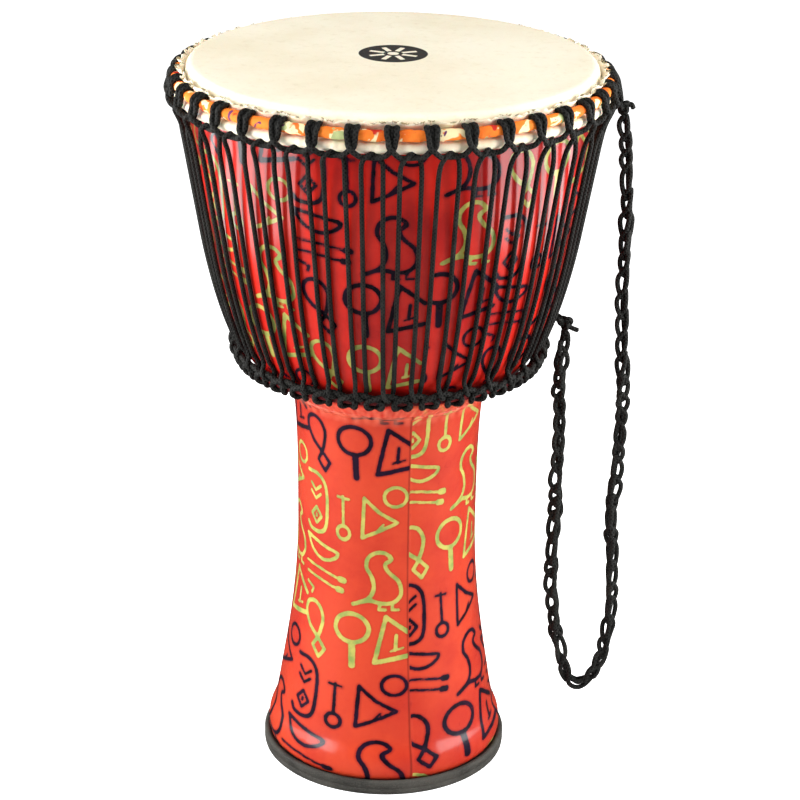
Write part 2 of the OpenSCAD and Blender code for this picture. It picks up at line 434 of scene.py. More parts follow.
def printed_cloth(name, ground, deep, gloss):
    """Red cotton with a wax print in navy and yellow-green, under a clear lacquer."""
    look = Look(name, Coat_Weight=gloss, Coat_Roughness=0.16, Coat_IOR=1.5, Specular_IOR_Level=0.1)
    blot = look.noise(9.0, 5.0, 0.6)
    fine = look.noise(160.0, 4.0, 0.65)
    thread = look.noise(1.0, 2.0, 0.6, look.stretched((420.0, 420.0, 1900.0)))
    ground_tone = look.mix(look.spread(blot, 0.38, 0.68), ground, deep)
    ground_tone = look.mix(look.spread(fine, 0.35, 0.8, 0.0, 0.16), ground_tone, deep)
    ragged = look.math("MULTIPLY_ADD", fine, 1.7, -0.85)
    shade = look.value("ink_shade")
    shade_edge = look.spread(look.add(shade, ragged), -1.6, 1.2, 0.5, 0.0)
    colour = look.mix(shade_edge, ground_tone, rgb(112, 14, 22))
    for ink, tone, dark in (("ink_green", rgb(176, 168, 84), rgb(122, 140, 70)),
                            ("ink_navy", rgb(30, 12, 34), rgb(12, 6, 18))):
        edge = look.spread(look.add(look.value(ink), ragged), -0.55, 0.35, 1.0, 0.0)
        patchy = look.mix(look.spread(look.noise(70.0, 3.0, 0.6), 0.35, 0.7), tone, dark)
        colour = look.mix(edge, colour, patchy)
    vein = look.math("ABSOLUTE", look.math("SUBTRACT", look.noise(16.0, 3.0, 0.7, None, 1.5), 0.5))
    crackle = look.times(look.spread(vein, 0.0, 0.006, 0.5, 0.0), look.spread(blot, 0.45, 0.7))
    colour = look.mix(crackle, colour, rgb(120, 10, 14))
    # Painted highlight: light pink mixed in by this attribute, standing in for light on the foot cloth's
    # folded hem and on the bowl's flare.
    colour = look.mix(look.times(look.value("painted_highlight"), 0.6), colour, rgb(240, 132, 104))
    # Painted shade: near-black red mixed in by this attribute, for the shadow under the bottom ring and the
    # shade line at the foot cloth's lap seam.
    colour = look.mix(look.times(look.value("dark"), 0.8), colour, rgb(40, 6, 8))
    height = look.add(look.times(thread, 0.5), look.times(blot, 1.2))
    normal = look.bump(height, 0.0006, 0.32)
    return look.finish(colour, look.spread(fine, 0.2, 0.8, 0.3, 0.46), normal)


def skin_look(name, edge_dark):
    """Goat skin: cream and faintly mottled, with pores, worn on its edge or with the badge on its top."""
    look = Look(name, Subsurface_Weight=0.12, Subsurface_Scale=0.004, Specular_IOR_Level=0.12)
    cloud = look.noise(7.0, 5.0, 0.6)
    fleck = look.noise(120.0, 4.0, 0.7)
    pore = look.spread(look.cells(520.0), 0.0, 0.35, 1.0, 0.0)
    tone = look.mix(look.spread(cloud, 0.35, 0.7), rgb(250, 240, 218), rgb(240, 227, 200))
    tone = look.mix(look.spread(fleck, 0.5, 0.8, 0.0, 0.3), tone, rgb(204, 186, 150))
    tone = look.mix(look.times(pore, 0.16), tone, rgb(176, 152, 116))
    if edge_dark:
        worn = look.spread(look.noise(38.0, 4.0, 0.7), 0.45, 0.7, 0.0, 0.35)
        tone = look.mix(worn, tone, rgb(226, 206, 160))
    else:
        ragged = look.math("MULTIPLY_ADD", fleck, 0.5, -0.25)
        printed = look.spread(look.add(look.value("badge"), ragged), -0.2, 0.25, 1.0, 0.0)
        tone = look.mix(printed, tone, rgb(62, 60, 58))
    height = look.add(look.times(cloud, 2.0), look.times(fleck, 0.35))
    normal = look.bump(height, 0.0008, 0.3, look.bump(pore, 0.0002, 0.3))
    return look.finish(tone, look.spread(fleck, 0.2, 0.8, 0.42, 0.62), normal)


def wound_cloth(name, ground, deep, prints):
    """A cloth strip wound round a ring, with patches of its print and painted shade where each turn goes
    under the next.
    """
    look = Look(name, Roughness=0.7, Specular_IOR_Level=0.2)
    thread = look.noise(1.0, 2.0, 0.6, look.stretched((1500.0, 1500.0, 1500.0)))
    fine = look.noise(210.0, 4.0, 0.6)
    tone = look.mix(look.spread(look.noise(40.0, 4.0, 0.6), 0.35, 0.7), ground, deep)
    for scale, low, colour in prints:
        tone = look.mix(look.spread(look.noise(scale, 2.0, 0.5, None, 0.6), low, low + 0.025), tone, colour)
    # Painted shade: dark brown along each turn's edge where it slips under the next turn.
    tone = look.mix(look.spread(look.value("lap"), 0.93, 1.0, 0.0, 0.5), tone, rgb(120, 50, 16))
    normal = look.bump(look.add(thread, fine), 0.0005, 0.4)
    return look.finish(tone, look.spread(fine, 0.2, 0.8, 0.6, 0.8), normal)


def rubber_look():
    """Grey-green rubber of the base ring, dusty, with moulding grain."""
    look = Look("base_rubber", Specular_IOR_Level=0.15)
    cloud = look.noise(22.0, 4.0, 0.6)
    grain = look.noise(700.0, 3.0, 0.6)
    tone = look.mix(look.spread(cloud, 0.3, 0.75), rgb(44, 43, 40), rgb(74, 72, 67))
    tone = look.mix(look.spread(grain, 0.45, 0.75, 0.0, 0.35), tone, rgb(92, 90, 84))
    normal = look.bump(grain, 0.0004, 0.5)
    return look.finish(tone, look.spread(cloud, 0.3, 0.7, 0.62, 0.8), normal)


def plastic_look():
    """Moulded shell, charcoal with a fine texture and lighter grey swirls of fibre."""
    look = Look("shell_plastic", Specular_IOR_Level=0.4)
    swirl = look.noise(14.0, 6.0, 0.6, None, 1.2)
    grain = look.noise(480.0, 3.0, 0.6)
    tone = look.mix(look.spread(swirl, 0.35, 0.7), rgb(34, 34, 35), rgb(58, 57, 55))
    tone = look.mix(look.spread(grain, 0.55, 0.8, 0.0, 0.3), tone, rgb(92, 90, 86))
    normal = look.bump(look.add(grain, swirl), 0.0006, 0.5)
    return look.finish(tone, look.spread(grain, 0.2, 0.8, 0.4, 0.62), normal)


def steel_look():
    """Bare ring steel under the cloth, with drawing marks and a little rust."""
    look = Look("ring_steel", Metallic=0.9)
    drawn = look.noise(1.0, 3.0, 0.6, look.stretched((60.0, 60.0, 1400.0)))
    rust = look.noise(48.0, 5.0, 0.7)
    tone = look.mix(look.spread(drawn, 0.3, 0.7), rgb(150, 150, 152), rgb(188, 188, 190))
    tone = look.mix(look.spread(rust, 0.58, 0.72, 0.0, 0.8), tone, rgb(112, 66, 38))
    return look.finish(tone, look.spread(drawn, 0.3, 0.7, 0.3, 0.5), look.bump(drawn, 0.0003, 0.4))


def hair_look():
    """The short hairs left on the skin's cut edge."""
    look = Look("skin_hair", Roughness=0.5)
    tone = look.mix(look.noise(300.0, 2.0, 0.5), rgb(200, 184, 144), rgb(150, 132, 92))
    return look.finish(tone)


def floor_look():
    """Studio paper, white, with the least tooth."""
    look = Look("studio_paper", Roughness=0.9, Specular_IOR_Level=0.1)
    tone = look.mix(look.noise(3.0, 2.0, 0.5), (0.93, 0.93, 0.93, 1), (0.95, 0.95, 0.95, 1))
    look.shader.inputs["Emission Color"].default_value = (1.0, 1.0, 1.0, 1.0)
    seen = look.node("LightPath")
    glow = look.times(seen.outputs["Is Camera Ray"], 0.9)
    look.join(glow, look.shader.inputs["Emission Strength"])
    tone = look.mix(seen.outputs["Is Glossy Ray"], tone, (0.03, 0.03, 0.03, 1))
    return look.finish(tone)


# --- the print: strokes and dots, in millimetres
def print_ring(cx, cy, r, count, squash=1.0):
    """A closed ring of the print."""
    a = np.linspace(0.0, 2 * math.pi, count)
    return np.stack([cx + r * np.cos(a), cy + r * squash * np.sin(a)], -1)


def row_loops():
    """First row: a loop over a diamond, a ring on a stick, a tall triangle with a spike in it."""
    return [
        (spline([[15, -36], [4, -28], [-3, -17], [-2, -7], [6, -3], [14, -6], [19, -15], [18, -26],
                 [15, -36]], False, 4), 2.0),
        ([[15, -36], [9.5, -45], [18, -54], [24, -45], [15, -36]], 1.8),
        (print_ring(49.5, -17.5, 15.8, 26, 0.87), 2.2),
        ([[50.5, -33], [51.5, -53]], 3.2),
        ([[71, -48], [80.5, -4], [103, -21]], 2.1),
        ([[71, -48], [103, -41]], 2.3),
        ([[90, -22], [89, -36]], 1.7),
        ([[85, -37], [96, -34]], 1.2),
    ]


def row_cartouche():
    """Second row: an open frame with chevrons and a diamond, a stick with a ring, a wedge, an oval."""
    return [
        (spline([[-6, 1], [8, 1], [17, -6], [20, -20], [19, -46], [12, -55], [-2, -55],
                 [-7, -50]], False, 4), 2.0),
        ([[-2, -10], [5, -16], [12, -10]], 1.5),
        ([[-2, -18], [5, -24], [12, -18]], 1.5),
        ([[6, -32], [13, -40], [6, -48], [-1, -40], [6, -32]], 1.6),
        ([[6, -39], [6, -41]], 1.6),
        ([[32, -14], [44, -15]], 1.4),
        ([[38, -13], [38.5, -41]], 1.6),
        (print_ring(38.5, -48.5, 6.6, 16), 1.8),
        ([[57.5, -50], [59, -11], [73, -24], [90, -34], [57.5, -50]], 1.8),
        ([[72, -42], [77, -36]], 1.3),
        (print_ring(88, -9, 10.5, 18, 0.9), 1.7),
    ]


def row_crescents():
    """Third row: a boat, two tapers with round heads, and a plump bird's outline on two feet."""
    return [
        (spline([[-8, -1], [6, -4], [20, -7], [33, -10], [27, -17], [14, -20], [1, -14],
                 [-8, -1]], False, 4), 1.8),
        ([[-8, -28], [14, -30], [36, -34]], 1.4),
        ([[36, -34], [40, -34.5]], 3.0),
        ([[-6, -38], [12, -40], [34, -44]], 1.4),
        ([[34, -44], [38, -44.5]], 3.0),
        ([[-5, -48], [4, -52], [2, -57]], 1.5),
        (spline([[50, -55], [64, -48], [69, -38], [67, -27], [62, -18], [63, -9], [70, -3], [79, -3],
                 [85, -9], [79, -14], [83, -22], [92, -31], [94, -43], [87, -51], [76, -52], [65, -50],
                 [50, -55]], False, 4), 2.0),
        ([[75, -52], [74, -58], [80, -58]], 1.5),
        ([[86, -51], [86, -58], [92, -58]], 1.5),
    ]


GLYPH_ROWS = {"loops": row_loops(), "cartouche": row_cartouche(), "crescents": row_crescents()}
TILE_W = 108.0
ROW_H = 60.9
PRINT_ORDER = [("loops", "ink_navy"), ("cartouche", "ink_green"), ("crescents", "ink_green"),
               ("loops", "ink_green"), ("cartouche", "ink_navy"), ("crescents", "ink_navy")]


def print_fields(across, up, columns, top):
    """How far each point of the cloth is from each ink, in millimetres, less than 0 inside a stroke.
    columns is a list of (left edge, how far its rows are moved up, its order of rows), from the top down."""
    fields = {ink: np.full(len(across), CLEAR_OF_INK) for ink in ("ink_navy", "ink_green")}
    for left, lift, order in columns:
        for number in range(-2, 9):
            row, ink = order[number % len(order)]
            base = top - number * ROW_H + lift
            near = np.nonzero((across > left - 12) & (across < left + TILE_W + 4)
                              & (up < base + 6) & (up > base - ROW_H - 4))[0]
            if not len(near):
                continue
            x = across[near] - left
            y = up[near] - base
            field = fields[ink][near]
            for line, half in GLYPH_ROWS[row]:
                points = np.array(line, float)
                for a, b in zip(points[:-1], points[1:]):
                    run = b - a
                    t = np.clip(((x - a[0]) * run[0] + (y - a[1]) * run[1]) / max(run @ run, 1e-9), 0, 1)
                    gap = np.hypot(x - a[0] - t * run[0], y - a[1] - t * run[1]) - half
                    field = np.minimum(field, gap)
            fields[ink][near] = field
    fields["ink_shade"] = np.minimum(fields["ink_navy"] - 1.2, fields["ink_green"] - 0.6)
    return fields


# --- cloth wraps
def flat_places(outer, section, reference, seam):
    """A cloth's profile lengths, and a function that tells of its points whether each is on the outer face,
    its turn from the seam, and its distances across and up the flat cloth in millimetres."""
    lengths = lengths_along(outer)
    up_of = np.concatenate([lengths, np.zeros(len(section) - len(outer))])

    def where(azimuth, index):
        turned = (azimuth - seam + 360.0) % 360.0
        return index < len(outer), turned, np.radians(turned) * reference, up_of[index]

    return lengths, where


def stretched_cloth(made, look, node):
    """Finishes a printed cloth, glued on taut."""
    finish_piece(made, look, "drum", [node])


def foot_cloth(look):
    """The printed cloth on neck and foot: a fold at its top, a lap seam, its hem tucked in at the rubber."""
    lip = np.array([[88.8, 361.0], [90.6, 361.6], [91.6, 363.2], [91.4, 365.0], [90.0, 366.2]])
    side = np.vstack([bezier(TOE, 24), bezier(SHIN, 18), bezier(FOOT, 90), bezier(NECK, 60), NECK[-1:],
                      [[86.4, 358.2]]])
    outer = resample(np.vstack([[[101.5, 8.2]], side, lip]), 1.9)
    section = shell_section(outer, CLOTH_T)
    reference = 84.0
    lengths, where = flat_places(outer, section, reference, SEAM_AZ)

    def wobble(azimuth, index, radius, height):
        face, turned, across, up = where(azimuth, index)
        folds = smooth_noise(azimuth, height, [(5, 9, 60), (9, 14, 40), (16, 24, 30)], 7)
        pucker = smooth_noise(azimuth, height, [(26, 34, 9), (44, 58, 7), (60, 76, 11)], 8)
        near_top = np.clip((height - 340.0) / 26.0, 0, 1) ** 2
        near_toe = np.clip((46.0 - height) / 34.0, 0, 1)
        grow = 0.10 * folds + 0.75 * pucker * near_top + 0.28 * pucker * near_toe
        lap_edge = np.clip(1.0 - turned / 0.5, 0, 1) * (turned < 180)
        under_lap = np.clip((turned - 353.0) / 6.4, 0, 1) * (turned > 180)
        radius = radius + grow + 0.55 * (lap_edge + under_lap)
        height = height + 0.9 * pucker * np.clip((height - 356.0) / 6.0, 0, 1)
        first = 2 * math.pi * reference - TILE_W + 7.0
        columns = [(first - TILE_W * number, FIELD_LIFT * number, PRINT_ORDER) for number in range(5)]
        fields = print_fields(across, up, columns, lengths[-1] - 15.3)
        for key in fields:
            fields[key] = np.where(face, fields[key], CLEAR_OF_INK)
        # Painted highlight along the puckered fold at the top of the foot cloth.
        fields["painted_highlight"] = np.clip((height - 352.0) / 10.0, 0, 1) * (0.5 + 0.5 * pucker)
        # Painted shade: a thin dark line where the overlapping edge of the lap seam stands.
        fields["dark"] = np.exp(-((turned - 359.4) / 0.45) ** 2) * 0.8
        return azimuth, radius, height, fields

    made = revolved("foot_cloth", section, 396, wobble)
    stretched_cloth(made, look, "foot_wrap")


def bowl_cloth(look):
    """The printed cloth on the bowl, from the throat's flare up to the skin."""
    outer = resample(np.vstack([[[90.0, 366.6]], bezier(FLARE, 24)[6:], bezier(BOWL, 90), BOWL[-1:]]), 2.2)
    section = shell_section(outer, CLOTH_T)
    reference = 165.0
    lengths, where = flat_places(outer, section, reference, SEAM_AZ - 2.0)

    def wobble(azimuth, index, radius, height):
        face, _, across, up = where(azimuth, index)
        folds = smooth_noise(azimuth, height, [(4, 8, 80), (8, 14, 60), (20, 30, 50)], 17)
        radius = radius + 0.12 * folds
        navy = [("cartouche", "ink_navy"), ("crescents", "ink_navy"), ("loops", "ink_navy"),
                ("loops", "ink_green")]
        mixed = [("crescents", "ink_green"), ("loops", "ink_navy"), ("cartouche", "ink_navy"),
                 ("crescents", "ink_navy")]
        first = 2 * math.pi * reference - TILE_W
        columns = [(first, 0.0, navy)]
        for number in range(1, 10):
            order = mixed if number == 9 else PRINT_ORDER
            columns.append((first - TILE_W * number, FIELD_LIFT * number, order))
        fields = print_fields(across, up, columns, lengths[-1] - 4.0)
        wrinkle = smooth_noise(azimuth, height, [(40, 60, 5), (70, 90, 4), (100, 140, 6)], 18)
        flare = np.clip((404.0 - height) / 12.0, 0, 1)
        radius = radius + 0.5 * wrinkle * flare * face
        for key in fields:
            fields[key] = np.where(face, fields[key], CLEAR_OF_INK) + 12.0 * flare
        # Painted highlight on the wrinkled flare under the bottom ring.
        fields["painted_highlight"] = np.clip((384.0 - height) / 6.0, 0, 1) * (0.55 + 0.45 * wrinkle)
        # Painted shadow: a dark band just under the bottom ring.
        fields["dark"] = np.clip(1.4 - np.abs(height - 392.0) / 9.0, 0, 1)
        return azimuth, radius, height, fields

    made = revolved("bowl_cloth", section, 480, wobble)
    stretched_cloth(made, look, "bowl_wrap")


# --- the skin
def on_arc(centre, radius, degrees):
    """Points of a circle's arc, as (radius, height)."""
    bend = np.radians(degrees)
    return np.stack([centre[0] + radius * np.cos(bend), centre[1] + radius * np.sin(bend)], -1)


def badge_field(x, y):
    """A plain roundel: a printed disc that leaves a small eight-rayed wheel unprinted."""
    r = np.hypot(x, y - BADGE_Y)
    a = np.arctan2(y - BADGE_Y, x)
    fold = np.abs((a % (math.pi / 4)) - math.pi / 8)
    ray = np.maximum(np.abs(np.sin(fold)) * r - 2.3, np.maximum(8.5 - r, r - 22.0))
    light = np.minimum(r - 5.0, ray)
    return np.maximum(r - BADGE_R, -light)


def goat_head(look):
    """The playing skin: flat top, rolled bearing edge, and the drawn-down side that goes behind the hoop."""
    rings = np.concatenate([np.linspace(0.6, 50.0, 72), np.linspace(52.0, 160.0, 36)])
    top = np.stack([rings, np.full(len(rings), TOTAL_H)], -1)
    roll = on_arc(EDGE_CENTRE, EDGE_R, np.linspace(90, 0, 15)[1:])
    flat_end = np.array([[165.0, TOTAL_H], [EDGE_CENTRE[0], TOTAL_H]])
    drop = np.array([[SKIN_SIDE_R, z] for z in np.linspace(649.5, 629.5, 12)])
    outer = np.vstack([top, flat_end, roll, drop])
    under = np.vstack([drop[::-1][::3] - [1.5, 0.0], [[169.6, 658.4]], [[160.0, 658.6]], [[80.0, 658.6]],
                       [[0.6, 658.6]]])
    section = np.vstack([outer, under])
    count = len(outer)

    def wobble(azimuth, index, radius, height):
        x = radius * np.cos(np.radians(azimuth))
        y = radius * np.sin(np.radians(azimuth))
        badge = np.where(index < len(rings), badge_field(x, y), CLEAR_OF_INK)
        pull = np.cos(np.radians(azimuth * HITCHES))
        gathers = smooth_noise(azimuth, height, [(50, 70, 12), (80, 110, 9), (24, 40, 15)], 27)
        lower = np.clip((652.0 - height) / 18.0, 0, 1) * (radius > 170) * (index < count)
        radius = radius + lower * (0.55 * gathers - 0.25 * pull)
        swell = smooth_noise(azimuth, radius, [(2, 4, 30), (3, 7, 24)], 28)
        inner = np.clip((radius - 30.0) / 40.0, 0, 1) * np.clip((168.0 - radius) / 20.0, 0, 1)
        height = height - 0.12 * (1 + swell) * inner * (index < count)
        return azimuth, radius, height, {"badge": badge}

    made = revolved("goat_head", section, 480, wobble)
    made.data.materials.append(look)
    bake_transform(made)
    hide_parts("drum_skin", "skin_skirt")
    return made


def skin_edge(look):
    """The skin turned up round the hoop, gathered between hitches, with its trimmed edge behind the ring."""
    wrap = on_arc(HOOP_AT, COLLAR_R, np.linspace(-170, 70, 30))
    fin_out = [[181.6, 640.2], [180.2, 644.0], [180.0, 648.0], [180.3, 651.0], [180.8, 653.5], [181.3, 655.6]]
    fin_in = [[180.2, 655.9], [179.6, 653.6], [179.0, 651.0], [178.6, 646.0], [178.6, 640.0], [178.6, 637.0]]
    section = np.vstack([wrap, fin_out, fin_in])

    def wobble(azimuth, index, radius, height):
        pull = np.cos(np.radians((azimuth + 90.0) * HITCHES))
        gathers = smooth_noise(azimuth, height, [(60, 80, 8), (90, 130, 7), (130, 170, 9)], 37)
        frill = np.clip((height - 647.0) / 8.6, 0, 1)
        free = 0.5 - 0.5 * pull
        body = (index < len(wrap))
        radius = radius + body * (0.5 * gathers - 0.35 * pull)
        radius = radius + frill * (1.2 * gathers + 4.6 * free)
        height = height + frill * (1.7 * gathers - 0.9 * free)
        height = height + body * 0.25 * gathers
        return azimuth, radius, height, {}

    made = revolved("skin_edge", section, 960, wobble)
    finish_piece(made, look, "tension_ring", ["skin_collar"])


def skin_hairs(look):
    """Tufts of hair left on the skin's trimmed edge."""
    runs = []
    for _ in range(190):
        middle = random.uniform(0, 360)
        for _ in range(4):
            azimuth = middle + random.uniform(-0.35, 0.35)
            lean = random.uniform(-0.8, 0.8)
            reach = random.uniform(1.2, 2.8)
            free = 0.5 - 0.5 * math.cos(math.radians((azimuth + 90.0) * HITCHES))
            foot_r = 180.8 + 4.6 * free + random.uniform(-1.0, 0.4)
            foot_z = 655.2 - 0.9 * free
            step = np.linspace(0, 1, 4)
            path = round_the_axis(azimuth + lean * step * step, foot_r + reach * step * 0.7,
                                  foot_z + reach * step * 0.7)
            runs.append((path, 0.34 * np.linspace(1.3, 0.6, 4), False))
    finish_piece(tubes_object("skin_hairs", runs, 4), look, "tension_ring", [])


# --- rings and their wound cloth
def wound_ring(name, at, radius, strip, body, node, look, seed, first, pinch):
    """A cloth strip wound round a ring: each turn overlaps the one before by a raised, slanting edge, and the
    hitches pinch it, the first one at the bearing `first`."""
    turns = int(round(2 * math.pi * at[0] / strip))
    rows, cols = turns * 12, 20
    big = np.repeat(np.arange(rows), cols) * 360.0 / rows
    small = np.tile(np.arange(cols), rows) * 360.0 / cols
    lap = (big / 360.0 * turns + small / 360.0) % 1.0
    local = np.random.default_rng(seed)
    ease = local.uniform(-0.25, 0.25, turns + 1)
    which = np.floor(big / 360.0 * turns + small / 360.0).astype(int) % turns
    thick = radius - 0.5 + 0.5 * lap + ease[which] * 0.5
    off = np.radians(np.abs((big - first + PITCH / 2) % PITCH - PITCH / 2)) * at[0]
    thick = np.maximum(thick - pinch * (1.0 - np.clip((off - 5.0) / 4.0, 0, 1) ** 2), radius - 0.85)
    thick = thick + 0.12 * np.sin(np.radians(small) * 3 + which * 2.1)
    r = at[0] + thick * np.cos(np.radians(small))
    z = at[1] + thick * np.sin(np.radians(small))
    points = round_the_axis(big, r, z)
    made = mesh_object(name, points, grid_quads(rows, cols, rows, cols)[0], values={"lap": lap})
    finish_piece(made, look, body, [node])


# --- ropes
def on_ring(at, radius, angle, sideways):
    """A point on the outside of a ring's section, as (sideways, radius, height)."""
    a = math.radians(angle)
    return (sideways, at[0] + radius * math.cos(a), at[1] + radius * math.sin(a))


def add_hook(points, hook, bearing):
    """Adds the points of a hook, given as (sideways, radius, height), about a bearing."""
    for sideways, radius, height in hook:
        points.append(round_the_axis(bearing + math.degrees(sideways / radius), radius, height))


def hitch_rope(name, unit, middle, first, body, node, look, jitter, rope_r):
    """One endless rope that repeats a hitch and its scallop all round, and each hitch's middle turn."""
    points = []
    turns = []
    for number in range(HITCHES):
        centre = first + number * PITCH
        if middle:
            turn = []
            add_hook(turn, middle, centre)
            turns.append((spline(turn, False, 5), rope_r, False))
        for sideways, radius, height in unit:
            shift = random.uniform(-jitter, jitter)
            drop = random.uniform(-jitter, jitter)
            bearing = centre + math.degrees((sideways + shift) / radius)
            points.append(round_the_axis(bearing, radius, height + drop * 0.6))
    path = resample(spline(points, True, 6), 1.5, True)
    made = tubes_object(name, [(path, rope_r, True)] + turns, 10)
    finish_piece(made, look, body, [node])


def top_unit():
    """One hitch on the crown ring and half a scallop on each side, as (sideways, radius, height)."""
    turn_r = CROWN_WRAP_R - 0.8 + ROPE_R
    unit = [(-12.6, 187.4, 627.4), (-9.6, 188.0, 627.8), (-7.2, 189.4, 628.6), (-4.8, 191.4, 630.6),
            (-1.0, 192.0, 634.2), (2.2, 192.2, 637.4)]
    for angle, sideways, extra in ((-22, 3.1, 0), (12, 3.6, 0), (45, 4.0, 0), (85, 4.2, 0), (116, 3.4, 0),
                                   (138, 0.0, -0.2), (116, -3.4, 0), (85, -4.2, 0), (45, -4.0, 0),
                                   (12, -3.6, 0), (-18, -3.1, 0.4)):
        unit.append(on_ring(CROWN_AT, turn_r + extra, angle, sideways))
    unit += [(-2.2, 194.0, 638.2), (1.0, 194.8, 634.4), (4.8, 193.2, 630.6), (7.2, 190.6, 628.6),
             (9.6, 188.6, 627.8), (12.6, 187.4, 627.4), (15.8, 187.0, 627.2)]
    return unit


def top_middle():
    """The middle turn of a top hitch, between its two outer ones, as (sideways, radius, height)."""
    turn_r = CROWN_WRAP_R - 2.9 + ROPE_R
    over = [on_ring(CROWN_AT, turn_r, angle, 0.0) for angle in (-22, 12, 45, 85, 116, 136)]
    return [(0.0, 191.6, 635.6)] + over


def bottom_unit():
    """One hitch on the bottom ring and half a scallop on each side, as (sideways, radius, height)."""
    turn_r = BOTTOM_WRAP_R - 0.4 + ROPE_R
    unit = [(-8.6, 138.2, 402.6), (-5.6, 137.8, 401.6), (-2.8, 136.8, 400.4), (0.4, 136.2, 399.2),
            (3.6, 136.8, 398.2)]
    for angle, sideways, extra in ((20, 5.8, 0), (-15, 6.8, 0), (-50, 6.2, 0), (-85, 4.2, 0), (-112, 1.6, 0),
                                   (-112, -1.6, 0), (-85, -4.2, 0), (-50, -6.2, 0), (-15, -6.8, 0),
                                   (20, -5.8, 0.3)):
        unit.append(on_ring(BOTTOM_AT, turn_r + extra, angle, sideways))
    unit += [(-3.4, 139.0, 399.2), (-0.2, 139.8, 400.4), (2.8, 139.4, 401.4), (5.6, 139.0, 402.2),
             (8.6, 138.6, 402.8), (11.6, 138.4, 403.0)]
    return unit


def run_line():
    """The taut line of a vertical run at its bearing, from the bottom hook up, as (radius, height)."""
    cloth = np.vstack([bezier(BOWL, 80), BOWL[-1:]])
    lifted = cloth + outward(cloth) * (ROPE_R + 0.7)
    kept = lifted[(np.arange(len(lifted)) < 48) & (lifted[:, 1] > 408.0)]
    return resample(np.vstack([kept, [RUN_TOP]]), 7.0)


def add_run(points, rows, start, end):
    """Adds one taut run between two hooks, with a trace of sway."""
    sway = random.uniform(-0.12, 0.12)
    begin = RUN_HIGH_Z if rows[0][1] > rows[-1][1] else RUN_LOW_Z
    for radius, height in rows:
        t = abs(height - begin) / (RUN_HIGH_Z - RUN_LOW_Z)
        bearing = start + (end - start) * t + sway * math.sin(math.pi * t)
        points.append(round_the_axis(bearing, radius, height))


def vertical_runs(look):
    """The long zigzag: up over a scallop of the top rope, down under one of the bottom rope, all round."""
    top_half = math.degrees(8.8 / 186.0)
    low_half = math.degrees(4.4 / 138.0)
    over = [(-8.8, 183.2, 607), (-8.7, 185.6, 615), (-8.2, 188.6, 621.5), (-6.2, 190.8, 626.6),
            (-3.0, 190.0, 629.8), (0.2, 187.4, 631.2), (3.2, 184.6, 630.0), (6.2, 182.8, 626.6),
            (8.2, 182.6, 621.5), (8.7, 183.0, 615), (8.8, 182.8, 607)]
    under = [(-4.5, 139.4, 411), (-4.2, 141.4, 407), (-3.2, 142.0, 402.6), (-1.2, 140.8, 399.6),
             (1.2, 137.4, 399.0), (3.0, 134.6, 401.0), (3.9, 134.4, 404.6), (4.4, 135.9, 409)]
    line = run_line()
    between = line[(line[:, 1] > 415.0) & (line[:, 1] < 600.0)]
    points = []
    for number in range(HITCHES):
        high = FRONT + (number + 0.5) * PITCH
        low = FRONT + (number + 1) * PITCH
        add_hook(points, over, high)
        add_run(points, between[::-1], high + top_half, low - low_half)
        add_hook(points, under, low)
        add_run(points, between, low + low_half, high + PITCH - top_half)
    path = resample(spline(points, True, 5), 2.2, True)
    made = tubes_object("tension_rope", [(path, ROPE_R, True)], 9)
    made.data.materials.append(look)
    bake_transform(made)
    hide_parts("vertical_rope")


def knot_path(size):
    """A trefoil, the shape of a drawn-up overhand knot, about `size` millimetres in radius."""
    t = np.linspace(0, 2 * math.pi, 90, endpoint=False)
    x = np.sin(t) + 2 * np.sin(2 * t)
    y = np.cos(t) - 2 * np.cos(2 * t)
    z = -np.sin(3 * t)
    return np.stack([x * size / 3.0, y * size / 3.0, z * size * 0.42], -1)


def knot_piece(name, centre, turn, size, knot_r, end_r, ends, body, node, look):
    """A drawn-up knot, and the rope ends that leave it, each a smooth line through its points."""
    runs = [(knot_path(size) @ np.array(turn.to_3x3()).T + centre, knot_r, True)]
    for points in ends:
        runs.append((spline(points, False, 6), end_r, False))
    return finish_piece(tubes_object(name, runs, 10), look, body, [node])


def rope_knots(look):
    """The tied-off ends at the back of the drum, one under each ring."""
    out = round_the_axis(BACK, 1.0, 0.0)
    side = np.cross([0, 0, 1.0], out)
    for name, radius, height, node, body in (
            ("top_back_knot", 188.6, 617.6, "top_rope_knot", "tension_ring"),
            ("bottom_back_knot", 132.4, 381.8, "bottom_rope_knot", "drum")):
        middle = round_the_axis(BACK, radius, height)
        ends = []
        for sign in (-1, 1):
            ends.append([middle + side * sign * 2, middle + side * sign * 3.4 - [0, 0, 4.0],
                         middle + side * sign * 4.6 - [0, 0, 8.4] + out * 1.5])
        stub = [middle + [0, 0, 1.5], middle + [0, 0, 5.5] - out * 2.0, middle + [0, 0, 8.5] - out * 4.5]
        ends.append(stub)
        knot_piece(name, middle, turned(BACK, "Z") @ turned(90, "Y"), 3.6, ROPE_R * 0.92, ROPE_R * 0.9, ends,
                   body, node, look)


